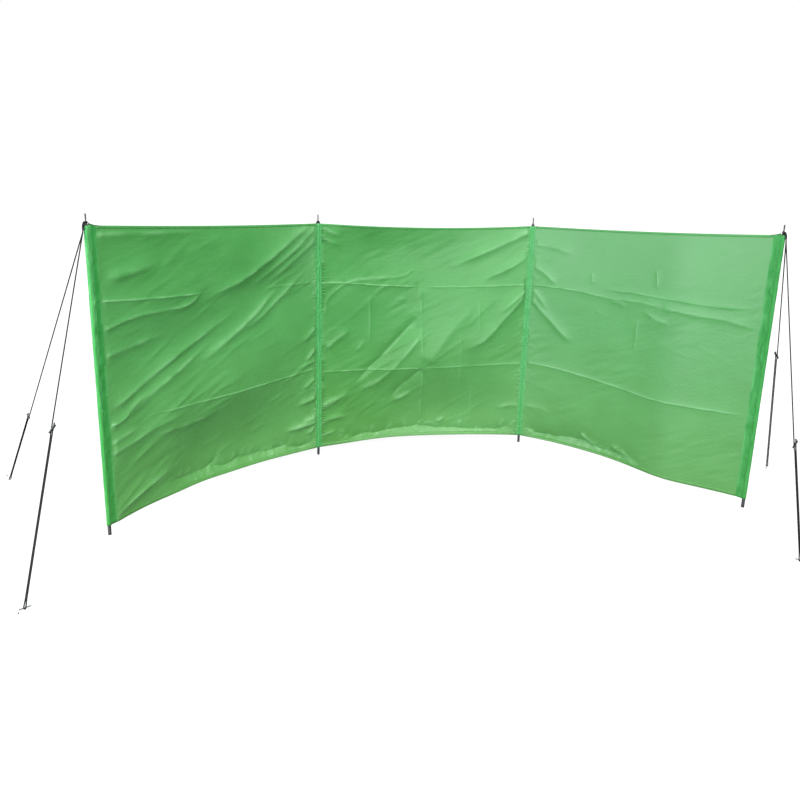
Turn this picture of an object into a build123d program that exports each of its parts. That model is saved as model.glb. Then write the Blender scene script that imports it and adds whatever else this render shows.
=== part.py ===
from build123d import *
import os
from math import cos, radians, sin, tan

os.makedirs("parts", exist_ok=True)

# Beach windbreak: three cloth bays on four upright poles, with two pegged guys at each end pole.
# The origin is the foot of the left inner pole, +X runs along the middle bay and +Y is the windward side.

# Layout of the bays, from pole axis to pole axis, with the turns at the two inner poles in degrees
bay_chord = 1370
left_turn = 37.1
right_turn = 54.3

# Cloth
fabric_height = 1400
ground_gap = 50
cloth_thickness = 2
sleeve_clearance = 0.3
inner_sleeve_reach = 22
end_sleeve_reach = 42

# How far each bay's bottom edge bows, and where along the bay
left_bow_depth = 94
middle_bow_depth = 100
right_bow_depth = 46
left_bow_shares = ((0.14, 0.52), (0.27, 0.76), (0.41, 1), (0.55, 0.92), (0.7, 0.78), (0.85, 0.42))
middle_bow_shares = ((0.15, 0.48), (0.31, 0.93), (0.46, 1), (0.61, 0.86), (0.76, 0.62), (0.91, 0.27))
right_bow_shares = ((0.13, 0.68), (0.28, 1), (0.43, 0.8), (0.58, 0.1), (0.71, -0.55), (0.83, -0.42))
top_bow_share = 0.35

# How far each bay's cloth billows to the lee between its edges, with one row of shares for each height
left_billow_depth = 34
middle_billow_depth = 34
right_billow_depth = 16
billow_height_shares = (0.09, 0.35, 0.58, 0.76, 0.88)
left_billow_shares = (
    (-0.1, -0.35, -0.8, -1, -1, -0.7),
    (0.35, 0.65, 0.9, 0.85, 0.55, 0.2),
    (-0.2, -0.2, -0.05, 0.25, 0.55, 0.45),
    (0.5, 0.6, 0.55, 0.3, 0.05, -0.1),
    (0.2, 0.25, 0.35, 0.5, 0.6, 0.3),
)
middle_billow_shares = (
    (-0.4, -0.6, -0.8, -0.9, -0.8, -0.4),
    (-0.2, 0.2, 0.7, 0.85, 0.6, 0.2),
    (-0.2, -0.1, 0.3, 0.65, 0.9, 0.5),
    (-0.25, -0.25, -0.2, 0.05, 0.4, 0.4),
    (-0.75, -0.8, -0.65, -0.4, -0.05, 0.1),
)
right_billow_shares = (
    (0.1, 0.1, 0.1, 0.1, 0.1, 0.1),
    (0.1, 0.1, 0.1, 0, 0, 0),
    (0.3, 0.2, 0.1, 0, 0, 0),
    (0.5, 0.5, 0.4, 0.4, 0.3, 0.2),
    (0.3, 0.2, 0.2, 0.2, 0.3, 0.2),
)

# Dip of each bay's top edge
left_sag_depth = 8
middle_sag_depth = 19
right_sag_depth = 8

# Poles
pole_diameter = 16
pole_wall = 1.2
pole_above_cloth = 2
foot_plug_height = 60

# Pins at the pole tops, each with a plug in the tube, a tapering shoulder and a thicker base that carries the loops
pin_diameter = 6
pin_base_diameter = 7
pin_shoulder_height = 11
pin_length = 32
pin_tip_chamfer = 0.8
pin_plug_length = 40
pin_plug_clearance = 0.1

# Webbing loops over the pole tops
strap_thickness = 2
strap_width = 15
strap_hole_clearance = 0.2
strap_shoulder_clearance = 0.3

# Guys
rope_diameter = 4
rope_clearance = 0.2
knot_diameter = 12
knot_drop_height = 26
loop_bend_radius = 6
stopper_diameter = 9

# Sliders on the guys
slider_length = 42
slider_width = 13
slider_thickness = 5
slider_edge_radius = 1.2
slider_hole_clearance = 0.3
slider_tilt = 60

# Pegs, from the ground up
peg_diameter = 4.5
peg_loop_height = 13
peg_head_length = 36
peg_hook_length = 15
peg_bend_radius = 6
peg_hook_turn = 100

# Each guy: reach and bearing from its pole axis to its peg, and how far down the line the slider sits
left_rear_reach = 977
left_rear_bearing = 132.8
left_rear_slider_share = 0.69
left_front_reach = 588
left_front_bearing = 249.8
left_front_slider_share = 0.55
right_rear_reach = 716
right_rear_bearing = 37.8
right_rear_slider_share = 0.45
right_front_reach = 549
right_front_bearing = 252.9
right_front_slider_share = 0.655

# Extra depth of every cut
cut_overrun = 5

up = Vector(0, 0, 1)
pole_radius = pole_diameter / 2
rope_radius = rope_diameter / 2
fabric_top = ground_gap + fabric_height
pole_top = fabric_top + pole_above_cloth
sleeve_bore = pole_radius + sleeve_clearance
sleeve_radius = sleeve_bore + cloth_thickness
shoulder_top = pole_top + pin_shoulder_height
strap_top = shoulder_top + strap_thickness
pin_base_height = strap_thickness + rope_diameter + rope_clearance
loop_radius = pin_base_diameter / 2 + rope_clearance + rope_radius
knot_offset = sleeve_radius + rope_clearance + knot_diameter / 2
return_radius = peg_diameter / 2 + rope_clearance + rope_radius


def heading(angle):
    return Vector(cos(radians(angle)), sin(radians(angle)), 0)


middle_way = heading(0)
left_way = heading(left_turn)
right_way = heading(-right_turn)
left_inner = Vector(0, 0, 0)
right_inner = left_inner + middle_way * bay_chord
left_end = left_inner - left_way * bay_chord
right_end = right_inner + right_way * bay_chord


def keep(piece, name):
    piece.label = name
    export_step(piece, f"parts/{name}.step")


def upright(foot, way, height):
    # Vertical plane through a pole, with local x along the given way and local y up
    return Plane(origin=foot + up * height, x_dir=way, z_dir=way.cross(up))


def make_pole(name, foot):
    with BuildPart() as pole:
        with BuildSketch(Plane(foot)):
            Circle(pole_radius)
        extrude(amount=pole_top)
        with BuildSketch(Plane(foot + up * foot_plug_height)):
            Circle(pole_radius - pole_wall)
        extrude(amount=pole_top - foot_plug_height, mode=Mode.SUBTRACT)
    keep(pole.part, name)


def make_pin(name, foot):
    # Turned pin: plug in the tube, shoulder on its rim, base for the loops and a slimmer free end
    plug_radius = pole_radius - pole_wall - pin_plug_clearance
    base_radius = pin_base_diameter / 2
    pin_radius = pin_diameter / 2
    base_top = pin_shoulder_height + pin_base_height
    tip = base_top + pin_length
    with BuildPart() as pin:
        with BuildSketch(upright(foot, middle_way, pole_top)):
            with BuildLine():
                Polyline(
                    (0, -pin_plug_length),
                    (plug_radius, -pin_plug_length),
                    (plug_radius, 0),
                    (pole_radius, 0),
                    (base_radius, pin_shoulder_height),
                    (base_radius, base_top),
                    (pin_radius, base_top),
                    (pin_radius, tip - pin_tip_chamfer),
                    (pin_radius - pin_tip_chamfer, tip),
                    (0, tip),
                    close=True,
                )
            make_face()
        revolve(axis=Axis(foot, up))
    keep(pin.part, name)


def make_strap(name, foot, way):
    # Webbing drawn over the pin's shoulder, standing on the sleeve's rim and pierced by the pin's base
    rise = pole_above_cloth + pin_shoulder_height
    inner_top = pin_base_diameter / 2 + strap_shoulder_clearance
    outer_top = inner_top + strap_thickness
    with BuildPart() as strap:
        with BuildSketch(upright(foot, way, fabric_top)):
            with BuildLine():
                Polyline(
                    (-sleeve_radius, 0),
                    (sleeve_radius, 0),
                    (outer_top, rise + strap_thickness),
                    (-outer_top, rise + strap_thickness),
                    close=True,
                )
            make_face()
            with BuildLine():
                Polyline(
                    (-sleeve_bore, 0),
                    (sleeve_bore, 0),
                    (sleeve_bore, pole_above_cloth),
                    (inner_top, rise),
                    (-inner_top, rise),
                    (-sleeve_bore, pole_above_cloth),
                    close=True,
                )
            make_face(mode=Mode.SUBTRACT)
        extrude(amount=strap_width / 2, both=True)
        with BuildSketch(Plane(foot + up * shoulder_top)):
            Circle(pin_base_diameter / 2 + strap_hole_clearance)
        extrude(amount=strap_thickness, mode=Mode.SUBTRACT)
    keep(strap.part, name)


def make_sleeve(name, foot, wings):
    # Cloth tube round the pole with a flat wing towards each bay
    with BuildPart() as sleeve:
        with BuildSketch(Plane(foot + up * ground_gap)):
            Circle(sleeve_radius)
        extrude(amount=fabric_height)
        for way, reach in wings:
            with BuildSketch(Plane(origin=foot + up * ground_gap, x_dir=way, z_dir=up)):
                Rectangle(reach, cloth_thickness, align=(Align.MIN, Align.CENTER))
            extrude(amount=fabric_height)
        with BuildSketch(Plane(foot + up * ground_gap)):
            Circle(sleeve_bore)
        extrude(amount=fabric_height, mode=Mode.SUBTRACT)
    keep(sleeve.part, name)


def make_panel(name, foot, way, start, stop, bow, bow_shares, billow, billow_shares, sag):
    # Cloth between two sleeves: its bow eases from the bottom to the top, it billows between and its top edge dips
    length = stop - start
    still_shares = [0 for station in bow_shares]
    levels = [0, *billow_height_shares, 1]
    rows = [still_shares, *billow_shares, still_shares]
    with BuildPart() as panel:
        for level, row in zip(levels, rows):
            depth = bow * (1 - (1 - top_bow_share) * level)
            line = [(start, 0)]
            for (along, out), swell in zip(bow_shares, row):
                line.append((start + along * length, depth * out - billow * swell))
            line.append((stop, 0))
            with BuildSketch(Plane(origin=foot + up * (ground_gap + level * fabric_height), x_dir=way, z_dir=up)):
                with BuildLine():
                    lee = Spline(*[(x, y - cloth_thickness / 2) for x, y in line])
                    wind = Spline(*[(x, y + cloth_thickness / 2) for x, y in line])
                    Line(lee @ 0, wind @ 0)
                    Line(lee @ 1, wind @ 1)
                make_face()
        loft()
        with BuildSketch(upright(foot, way, fabric_top)):
            with BuildLine():
                dip = ThreePointArc((start, 0), (start + length / 2, -sag), (stop, 0))
                Polyline(dip @ 0, (start, cut_overrun), (stop, cut_overrun), dip @ 1)
            make_face()
        extrude(amount=bow + cut_overrun, both=True, mode=Mode.SUBTRACT)
    keep(panel.part, name)


def make_guy_loop(name, foot, out):
    # Loop of rope round the pin's base, over the webbing and down to the knot of the two guys
    level = strap_top - fabric_top + rope_radius
    bend = knot_offset - loop_bend_radius
    low = level - loop_bend_radius
    bend_out = bend + loop_bend_radius * sin(radians(45))
    bend_up = low + loop_bend_radius * cos(radians(45))
    near, far = loop_radius, -loop_radius
    with BuildPart() as loop:
        with BuildLine(Plane(origin=foot + up * fabric_top, x_dir=out, z_dir=up)) as path:
            Line((knot_offset, near, -knot_drop_height), (knot_offset, near, low))
            ThreePointArc((knot_offset, near, low), (bend_out, near, bend_up), (bend, near, level))
            Line((bend, near, level), (0, near, level))
            ThreePointArc((0, near, level), (far, 0, level), (0, far, level))
            Line((0, far, level), (bend, far, level))
            ThreePointArc((bend, far, level), (bend_out, far, bend_up), (knot_offset, far, low))
            Line((knot_offset, far, low), (knot_offset, far, -knot_drop_height))
        with BuildSketch(Plane(origin=path.wires()[0] @ 0, z_dir=up)):
            Circle(rope_radius)
        sweep(path=path.wires()[0])
        knot = foot + out * knot_offset + up * (fabric_top - knot_drop_height)
        with BuildSketch(Plane(origin=knot, x_dir=out, z_dir=out.cross(up))):
            Circle(knot_diameter / 2)
            Rectangle(knot_diameter, knot_diameter, align=(Align.MAX, Align.CENTER), mode=Mode.SUBTRACT)
        revolve(axis=Axis(knot, up))
    keep(loop.part, name)


def make_guy(name, foot, out, reach, bearing, slider_share):
    # One guy: single rope to the slider, then a doubled rope that turns round the peg
    knot = foot + out * knot_offset + up * (fabric_top - knot_drop_height)
    peg = foot + heading(bearing) * reach + up * peg_loop_height
    down = (peg - knot).normalized()
    away = Vector(down.X, down.Y, 0).normalized()
    across = away.cross(up)
    shaft = across.cross(down)
    span = (peg - knot).length
    lower = span * (1 - slider_share)
    stagger = return_radius * tan(radians(slider_tilt))
    half_slot = slider_thickness / 2 / cos(radians(slider_tilt))
    eye = peg - down * (lower - stagger) + across * return_radius
    stopper = lower + stagger + (stopper_diameter / 2 + rope_clearance) / cos(radians(slider_tilt)) + half_slot
    line_way = (eye - knot).normalized()

    with BuildPart() as line:
        with BuildSketch(Plane(origin=knot + line_way * (knot_diameter / 2 + rope_clearance), z_dir=line_way)):
            Circle(rope_radius)
        extrude(amount=(eye - knot).length - knot_diameter / 2 - 2 * rope_clearance)
    keep(line.part, f"{name}_guy_line")

    with BuildPart() as lower_loop:
        with BuildLine(Plane(origin=peg, x_dir=down, z_dir=down.cross(across))) as path:
            Line((stagger - lower, return_radius), (0, return_radius))
            ThreePointArc((0, return_radius), (return_radius, 0), (0, -return_radius))
            Line((0, -return_radius), (-stopper, -return_radius))
        with BuildSketch(Plane(origin=eye, z_dir=down)):
            Circle(rope_radius)
        sweep(path=path.wires()[0])
        knot_centre = peg - down * stopper - across * return_radius
        with BuildSketch(Plane(origin=knot_centre, x_dir=across, z_dir=shaft)):
            Circle(stopper_diameter / 2)
            Rectangle(stopper_diameter, stopper_diameter, align=(Align.MAX, Align.CENTER), mode=Mode.SUBTRACT)
        revolve(axis=Axis(knot_centre, down))
    keep(lower_loop.part, f"{name}_guy_return")

    middle = peg - down * lower
    bar_way = across * cos(radians(slider_tilt)) + down * sin(radians(slider_tilt))
    with BuildPart() as slider:
        with BuildSketch(Plane(origin=middle, x_dir=bar_way, z_dir=bar_way.cross(shaft))):
            SlotOverall(slider_length, slider_width)
        extrude(amount=slider_thickness / 2, both=True)
        fillet(slider.faces().sort_by(SortBy.AREA)[-2:].edges(), slider_edge_radius)
        for side in (1, -1):
            hole = middle + (down * stagger + across * return_radius) * side
            with BuildSketch(Plane(origin=hole, z_dir=down)):
                Circle(rope_radius + slider_hole_clearance)
            extrude(amount=slider_length / 2, both=True, mode=Mode.SUBTRACT)
    keep(slider.part, f"{name}_slider")

    rise = shaft.dot(up)
    lean = shaft.dot(away)
    buried = (peg_loop_height + peg_diameter) / rise
    head_x = lean * peg_head_length
    head_y = rise * peg_head_length
    tip_angle = radians(peg_hook_turn)
    tip_x = lean * cos(tip_angle) + rise * sin(tip_angle)
    tip_y = rise * cos(tip_angle) - lean * sin(tip_angle)
    with BuildPart() as peg_wire:
        with BuildLine(Plane(origin=peg, x_dir=away, z_dir=away.cross(up))) as path:
            FilletPolyline(
                (-lean * buried, -rise * buried),
                (head_x, head_y),
                (head_x + tip_x * peg_hook_length, head_y + tip_y * peg_hook_length),
                radius=peg_bend_radius,
            )
        with BuildSketch(Plane(origin=peg - shaft * buried, z_dir=shaft)):
            Circle(peg_diameter / 2)
        sweep(path=path.wires()[0])
        split(bisect_by=Plane.XY, keep=Keep.TOP)
    keep(peg_wire.part, f"{name}_peg")


left_wing = (-left_way, inner_sleeve_reach)
right_wing = (right_way, inner_sleeve_reach)
poles = {
    "left_end": (left_end, [(left_way, end_sleeve_reach)], left_way),
    "left_inner": (left_inner, [left_wing, (middle_way, inner_sleeve_reach)], left_way + middle_way),
    "right_inner": (right_inner, [(-middle_way, inner_sleeve_reach), right_wing], middle_way + right_way),
    "right_end": (right_end, [(-right_way, end_sleeve_reach)], right_way),
}
for side, (foot, wings, strap_way) in poles.items():
    make_pole(f"{side}_pole", foot)
    make_pin(f"{side}_pin", foot)
    make_strap(f"{side}_top_loop", foot, strap_way.normalized())
    make_sleeve(f"{side}_sleeve", foot, wings)

last_inner = bay_chord - inner_sleeve_reach
last_end = bay_chord - end_sleeve_reach
left_sheet = (left_bow_depth, left_bow_shares, left_billow_depth, left_billow_shares, left_sag_depth)
middle_sheet = (middle_bow_depth, middle_bow_shares, middle_billow_depth, middle_billow_shares, middle_sag_depth)
right_sheet = (right_bow_depth, right_bow_shares, right_billow_depth, right_billow_shares, right_sag_depth)
make_panel("left_panel", left_end, left_way, end_sleeve_reach, last_inner, *left_sheet)
make_panel("middle_panel", left_inner, middle_way, inner_sleeve_reach, last_inner, *middle_sheet)
make_panel("right_panel", right_inner, right_way, inner_sleeve_reach, last_end, *right_sheet)

make_guy_loop("left_guy_loop", left_end, -left_way)
make_guy_loop("right_guy_loop", right_end, right_way)
make_guy("left_rear", left_end, -left_way, left_rear_reach, left_rear_bearing, left_rear_slider_share)
make_guy("left_front", left_end, -left_way, left_front_reach, left_front_bearing, left_front_slider_share)
make_guy("right_rear", right_end, right_way, right_rear_reach, right_rear_bearing, right_rear_slider_share)
make_guy("right_front", right_end, right_way, right_front_reach, right_front_bearing, right_front_slider_share)
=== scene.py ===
import functools
import math

import bpy
import numpy as np
from mathutils import Matrix, Vector


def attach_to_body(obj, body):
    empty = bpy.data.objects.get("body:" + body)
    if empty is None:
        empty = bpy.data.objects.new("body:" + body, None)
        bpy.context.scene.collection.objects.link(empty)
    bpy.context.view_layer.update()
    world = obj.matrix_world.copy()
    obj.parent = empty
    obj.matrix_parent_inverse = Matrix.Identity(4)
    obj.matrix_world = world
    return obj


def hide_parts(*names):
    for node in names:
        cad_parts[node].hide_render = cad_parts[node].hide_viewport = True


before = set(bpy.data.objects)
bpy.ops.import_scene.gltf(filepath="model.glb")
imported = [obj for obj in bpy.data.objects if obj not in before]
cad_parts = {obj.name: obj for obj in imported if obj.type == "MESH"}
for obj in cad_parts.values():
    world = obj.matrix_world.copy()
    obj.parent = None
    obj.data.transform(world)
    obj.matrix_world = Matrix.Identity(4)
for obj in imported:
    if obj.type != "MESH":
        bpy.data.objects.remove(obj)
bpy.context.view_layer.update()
scene = bpy.context.scene
print("frame loaded with", len(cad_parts), "nodes")

# shared places, in metres, as in the CAD frame
layout = {
    "bayChord": 1.37,
    "leftTurn": 37.1,  # degrees
    "rightTurn": 54.3,
    "clothFoot": 0.05,
    "clothTop": 1.45,
    "loopLevel": 1.467,  # middle of the cord round the pins
    "innerReach": 0.022,  # pole axis to panel seam
    "endReach": 0.042,
}
clothFoot, clothTop = layout["clothFoot"], layout["clothTop"]
clothHeight = clothTop - clothFoot
bayChord, endReach, innerReach = layout["bayChord"], layout["endReach"], layout["innerReach"]


def wayAt(degrees):
    return np.array([math.cos(math.radians(degrees)), math.sin(math.radians(degrees)), 0.0])


leftWay, middleWay, rightWay = wayAt(layout["leftTurn"]), wayAt(0), wayAt(-layout["rightTurn"])
upWay = np.array([0.0, 0.0, 1.0])
feet = {"leftInner": np.zeros(3), "rightInner": middleWay * bayChord}
feet["leftEnd"] = feet["leftInner"] - leftWay * bayChord
feet["rightEnd"] = feet["rightInner"] + rightWay * bayChord


# small helpers for names, colours, nodes and meshes

def cadName(name):
    # leftEnd becomes left_end
    return "".join("_" + c.lower() if c.isupper() else c for c in name)


def hexToLinear(code):
    parts = [int(code[i:i + 2], 16) / 255 for i in (1, 3, 5)]
    return tuple(c / 12.92 if c <= 0.04045 else ((c + 0.055) / 1.055) ** 2.4 for c in parts) + (1.0,)


def addNode(tree, kind, inputs=None, **settings):
    # a short kind is a shader node; a node as a value stands for its first output, and text for a colour
    made = tree.nodes.new(kind if "Node" in kind else "ShaderNode" + kind)
    for name, value in settings.items():
        setattr(made, name, value)
    for name, value in (inputs or {}).items():
        if isinstance(value, bpy.types.Node):
            value = next(socket for socket in value.outputs if socket.enabled)
        if isinstance(value, bpy.types.NodeSocket):
            tree.links.new(value, made.inputs[name])
        else:
            made.inputs[name].default_value = hexToLinear(value) if isinstance(value, str) else value
    return made


def newMaterial(name, recipe, *finish):
    material = bpy.data.materials.new(name)
    material.use_nodes = True
    tree = material.node_tree
    tree.nodes.clear()
    add = functools.partial(addNode, tree)
    add("OutputMaterial", {"Surface": recipe(add, *finish)})
    return material


def addObject(name, data):
    made = bpy.data.objects.new(name, data)
    scene.collection.objects.link(made)
    return made


def attach(piece, node=None):
    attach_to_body(piece, "root")
    if node:
        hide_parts(node)


def unit(way):
    return way / np.linalg.norm(way)


def distances(line):
    # how far along the line each of its points is
    return np.concatenate([[0], np.cumsum(np.linalg.norm(np.diff(line, axis=0), axis=1))])


def smoothStep(x):
    x = np.clip(x, 0, 1)
    return x * x * (3 - 2 * x)


def softNoise(x, y, seed):
    # value noise from -1 to 1 with cells one unit wide
    table = np.random.default_rng(seed).uniform(-1, 1, (64, 64))
    xi, yi = np.floor(x).astype(int), np.floor(y).astype(int)
    fx, fy = smoothStep(x - xi), smoothStep(y - yi)
    low = table[yi % 64, xi % 64] * (1 - fx) + table[yi % 64, (xi + 1) % 64] * fx
    high = table[(yi + 1) % 64, xi % 64] * (1 - fx) + table[(yi + 1) % 64, (xi + 1) % 64] * fx
    return low * (1 - fy) + high * fy


def throughPoints(points, perSpan=10):
    # smooth line through listed points
    p = np.array(points, float)
    p = np.vstack([2 * p[0] - p[1], p, 2 * p[-1] - p[-2]])
    t = np.linspace(0, 1, perSpan, endpoint=False)[:, None]
    runs = []
    for a, b, c, d in zip(p[:-3], p[1:-2], p[2:-1], p[3:]):
        runs.append(0.5 * (2 * b + (c - a) * t + (2 * a - 5 * b + 4 * c - d) * t ** 2
                           + (3 * b - a - 3 * c + d) * t ** 3))
    return np.vstack(runs + [p[-2:-1]])


def cubicThrough(xs, ys, at):
    # natural cubic spline
    xs, ys = np.array(xs, float), np.array(ys, float)
    n, h = len(xs), np.diff(xs)
    a, b = np.eye(n), np.zeros(n)
    for i in range(1, n - 1):
        a[i, i - 1:i + 2] = h[i - 1], 2 * (h[i - 1] + h[i]), h[i]
        b[i] = 6 * ((ys[i + 1] - ys[i]) / h[i] - (ys[i] - ys[i - 1]) / h[i - 1])
    m = np.linalg.solve(a, b)
    k = np.clip(np.searchsorted(xs, at) - 1, 0, n - 2)
    left, right, hk = at - xs[k], xs[k + 1] - at, h[k]
    return ((m[k] * right ** 3 + m[k + 1] * left ** 3) / (6 * hk)
            + (ys[k] / hk - m[k] * hk / 6) * right + (ys[k + 1] / hk - m[k + 1] * hk / 6) * left)


def buildMesh(name, points, faces, material, uv=None, shares=None):
    mesh = bpy.data.meshes.new(name)
    mesh.from_pydata(np.reshape(np.asarray(points, float), (-1, 3)).tolist(), [], faces)
    mesh.shade_smooth()
    mesh.materials.append(material)
    corners = np.zeros(len(mesh.loops), int)
    mesh.loops.foreach_get("vertex_index", corners)
    if uv is not None:
        layer = mesh.uv_layers.new(name="clothUv")
        layer.data.foreach_set("uv", np.reshape(uv, (-1, 2)).astype(np.float32)[corners].ravel())
    for shareName, values in (shares or {}).items():
        share = mesh.attributes.new(shareName, "FLOAT", "POINT")
        share.data.foreach_set("value", np.asarray(values, np.float32).ravel())
    return addObject(name, mesh)


def gridFaces(rows, columns, closed=False, capped=False):
    j, i = np.meshgrid(np.arange(rows - 1), np.arange(columns if closed else columns - 1), indexing="ij")
    nextI = (i + 1) % columns
    corners = (j * columns + i, j * columns + nextI, (j + 1) * columns + nextI, (j + 1) * columns + i)
    faces = np.stack(corners, -1).reshape(-1, 4).tolist()
    if capped:
        faces += [list(range(columns))[::-1], list(range((rows - 1) * columns, rows * columns))]
    return faces


def tubeAlong(points, radius, sides):
    # round tube with capped ends, and uv running round and along in metres
    p = np.array(points, float)
    steps = np.diff(p, axis=0)
    tangents = np.vstack([steps[:1], steps[:-1] + steps[1:], steps[-1:]])
    tangents /= np.linalg.norm(tangents, axis=1)[:, None]
    side = np.cross(tangents[0], upWay if abs(tangents[0][2]) < 0.9 else middleWay)
    acrossWays = []
    for t in tangents:
        side = unit(side - t * side.dot(t))
        acrossWays.append(side)
    acrossWays = np.array(acrossWays)
    otherWays = np.cross(tangents, acrossWays)
    turn = np.linspace(0, 2 * math.pi, sides, endpoint=False)[None, :, None]
    ring = (acrossWays[:, None] * np.cos(turn) + otherWays[:, None] * np.sin(turn)) * radius
    uv = np.stack(np.broadcast_arrays(turn[:, :, 0] * radius, distances(p)[:, None]), -1)
    return (p[:, None] + ring).reshape(-1, 3), gridFaces(len(p), sides, True, True), uv.reshape(-1, 2)


def joinParts(parts):
    # several (points, faces, uv) become one
    points, faces, uvs, first = [], [], [], 0
    for p, f, uv in parts:
        points.append(p)
        uvs.append(uv)
        faces += [[i + first for i in face] for face in f]
        first += len(p)
    return np.vstack(points), faces, np.vstack(uvs)


def addSolidify(piece, thickness, offset):
    made = piece.modifiers.new("clothThickness", "SOLIDIFY")
    made.thickness, made.offset, made.use_rim = thickness, offset, True


# materials: each recipe adds its nodes and returns the shader of the surface

def waveScale(bandMm):
    # wave texture with bands this far apart
    return math.pi / 10 / (bandMm / 1000)


# PU-coated polyester taffeta, plain woven and calendered: satin sheen, a little see-through, whitened at
# creases where the coating cracked, with painted highlights along crests and painted sheen over the bays
taffetaFinishes = {
    "coatedPolyesterTaffeta": {
        "deep": "#469449", "pale": "#53A256", "worn": "#98D69C", "through": "#62BC4C", "share": 0.30,
        "rough": 0.42, "satin": 0.55, "sheen": 0.1, "dust": 0.10},
    "doubledPolyesterTaffeta": {
        "deep": "#38984A", "pale": "#44A455", "worn": "#86D598", "through": "#3FAF48", "share": 0.16,
        "rough": 0.46, "satin": 0.45, "sheen": 0.1, "dust": 0.04},
    "turnedTaffetaHem": {
        "deep": "#3F8F45", "pale": "#4B9C50", "worn": "#70C67A", "through": "#3FA03C", "share": 0.12,
        "rough": 0.46, "satin": 0.5, "sheen": 0.1, "dust": 0.0},
    # four layers let little light through, and its deep and pale are darkened: painted shade beside the end
    # poles
    "fourfoldTaffetaPaintedShade": {
        "deep": "#2C8438", "pale": "#378F44", "worn": "#78CA84", "through": "#3FA03C", "share": 0.06,
        "rough": 0.5, "satin": 0.1, "sheen": 0.0, "dust": 0.03},
}
# the threads are 0.25 mm apart; they are drawn 1.5 mm apart, because finer ones don't show
weave = {"threadMm": 1.5, "depth": 0.0002, "crumpleDepth": 0.0022, "gatherDepth": 0.006, "roughSpread": 0.06}
# sand dust worked into the weave, with painted warm light bounced from the ground: full at one height in
# metres and gone at the other
groundDustAndBounce = {"colour": "#A8A040", "full": 0.15, "gone": 0.95, "uneven": 0.25}


def taffetaLook(add, finish):
    uv = add("UVMap", uv_map="clothUv")
    threads = {"Vector": uv, "Scale": waveScale(weave["threadMm"])}
    warp = add("TexWave", threads, bands_direction="X").outputs["Fac"]
    weft = add("TexWave", threads, bands_direction="Y").outputs["Fac"]
    woven = add("Math", {0: warp, 1: weft}, operation="MULTIPLY")
    # uneven yarns: streaks about 3 mm high and 250 mm long
    stretched = add("Mapping", {"Vector": uv, "Scale": (4.0, 330.0, 1.0)})
    slubs = add("TexNoise", {"Vector": stretched, "Scale": 1.0, "Detail": 2.0})
    # uneven coating: patches about 180 mm wide
    patches = add("TexNoise", {"Vector": uv, "Scale": 5.5, "Detail": 4.0})
    mottle = add("Math", {0: patches, 1: slubs}, operation="ADD")
    spread = add("MapRange", {"Value": mottle, "From Min": 0.7, "From Max": 1.3})
    body = add("Mix", {"Factor": spread, 6: finish["deep"], 7: finish["pale"]}, data_type="RGBA")
    # dust and painted warm light bounced from the ground, stronger lower down
    height = add("SeparateXYZ", {"Vector": uv}).outputs["Y"]
    level = add("Math", {0: patches, 1: groundDustAndBounce["uneven"], 2: height}, operation="MULTIPLY_ADD")
    dust = add("MapRange", {
        "Value": level, "From Min": groundDustAndBounce["gone"], "From Max": groundDustAndBounce["full"],
        "To Max": finish["dust"]})
    dustedAndBounced = add("Mix", {"Factor": dust, 6: body, 7: groundDustAndBounce["colour"]}, data_type="RGBA")
    # whitening: cracked coating at creases, plus painted highlights on crests and painted sheen over the bays
    wear = add("Attribute", attribute_name="foldWearAndHighlight").outputs["Fac"]
    worn = add("Mix", {"Factor": wear, 6: dustedAndBounced, 7: finish["worn"]}, data_type="RGBA")
    gloss = add("MapRange", {
        "Value": patches, "To Min": finish["rough"] - weave["roughSpread"],
        "To Max": finish["rough"] + weave["roughSpread"]})
    # soft crumples of the coating, about 14 mm across
    crumple = add("TexNoise", {"Vector": uv, "Scale": 70.0, "Detail": 3.0})
    crumpled = add("Bump", {"Height": crumple, "Strength": 0.35, "Distance": weave["crumpleDepth"]})
    # gathers along the seams, about 10 mm apart and 70 mm long
    drawn = add("Mapping", {"Vector": uv, "Scale": (14.0, 100.0, 1.0)})
    gathers = add("TexNoise", {"Vector": drawn, "Scale": 1.0, "Detail": 1.0})
    pull = add("Attribute", attribute_name="seamPull").outputs["Fac"]
    gathered = add("Math", {0: gathers, 1: pull}, operation="MULTIPLY")
    puckered = add("Bump", {
        "Height": gathered, "Normal": crumpled, "Strength": 1.0, "Distance": weave["gatherDepth"]})
    bump = add("Bump", {
        "Height": woven, "Normal": puckered, "Strength": 0.25, "Distance": weave["depth"]})
    shell = add("BsdfPrincipled", {
        "Base Color": worn, "Roughness": gloss, "Normal": bump, "IOR": 1.5, "Sheen Roughness": 0.4,
        "Specular IOR Level": finish["satin"], "Sheen Weight": finish["sheen"]})
    through = add("BsdfTranslucent", {"Color": finish["through"], "Normal": crumpled})
    return add("MixShader", {0: finish["share"], 1: shell, 2: through})


# Spun polyester sewing thread: matt, a little paler than the cloth, twisted at about 0.5 mm
def threadLook(add):
    place = add("TexCoord").outputs["Object"]
    twist = add("TexNoise", {"Vector": place, "Scale": 900.0})
    colour = add("Mix", {"Factor": twist, 6: "#3FA049", 7: "#7CCB80"}, data_type="RGBA")
    return add("BsdfPrincipled", {"Base Color": colour, "Roughness": 0.7, "Sheen Weight": 0.3})


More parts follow.
